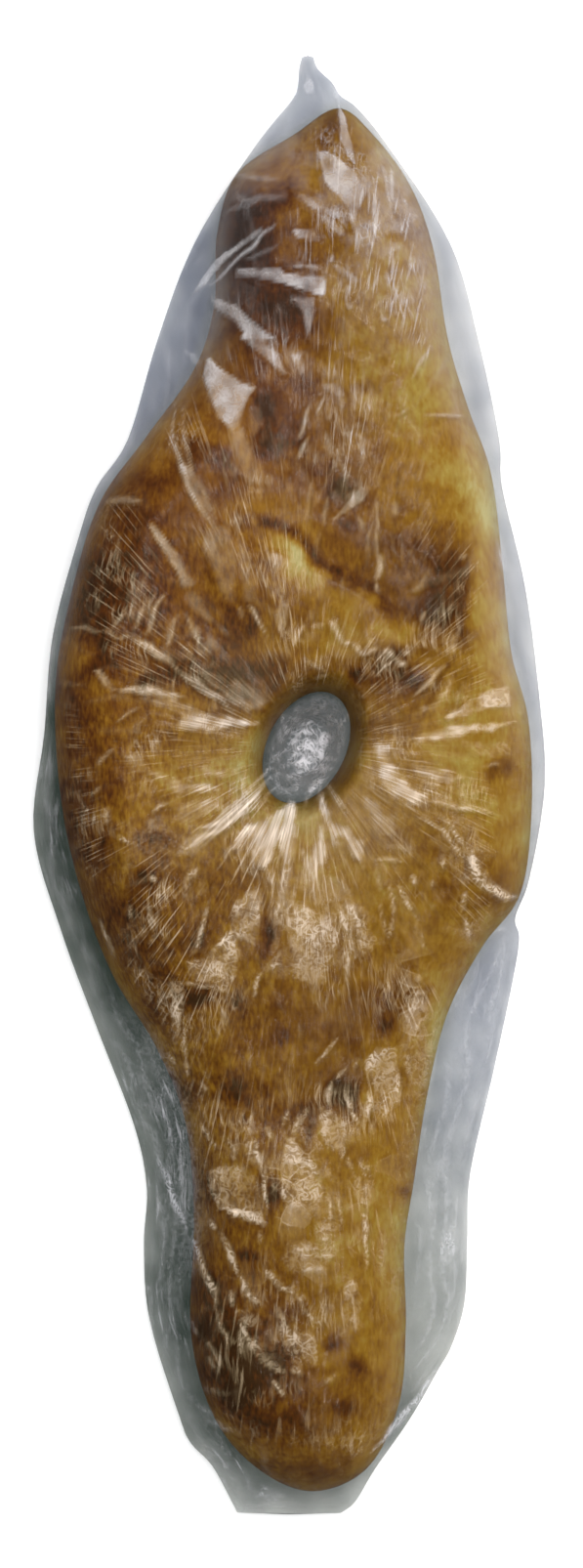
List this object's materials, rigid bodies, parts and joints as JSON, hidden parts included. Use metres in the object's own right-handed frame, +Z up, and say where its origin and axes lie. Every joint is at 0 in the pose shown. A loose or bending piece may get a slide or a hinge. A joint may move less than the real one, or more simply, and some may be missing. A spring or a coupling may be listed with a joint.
{
  "type": "shoti bread in a clear film bag",
  "caption": "Long shoti loaf, pointed at one end and drawn out to a blunt tail, with a steam hole in its round middle, lying flat in a snug bag of wrinkled clear film.",
  "frame": {"origin": "on the table, under the middle of the bag's bounding box", "axes": "+Y along the loaf towards its pointed end, +Z up"},
  "size_m": [0.1778, 0.507, 0.0463],
  "materials": {
    "crust": "satin",
    "film": "gloss"
  },
  "bodies": {
    "root": {"shoti_in_film": "crust"}
  },
  "joints": []
}
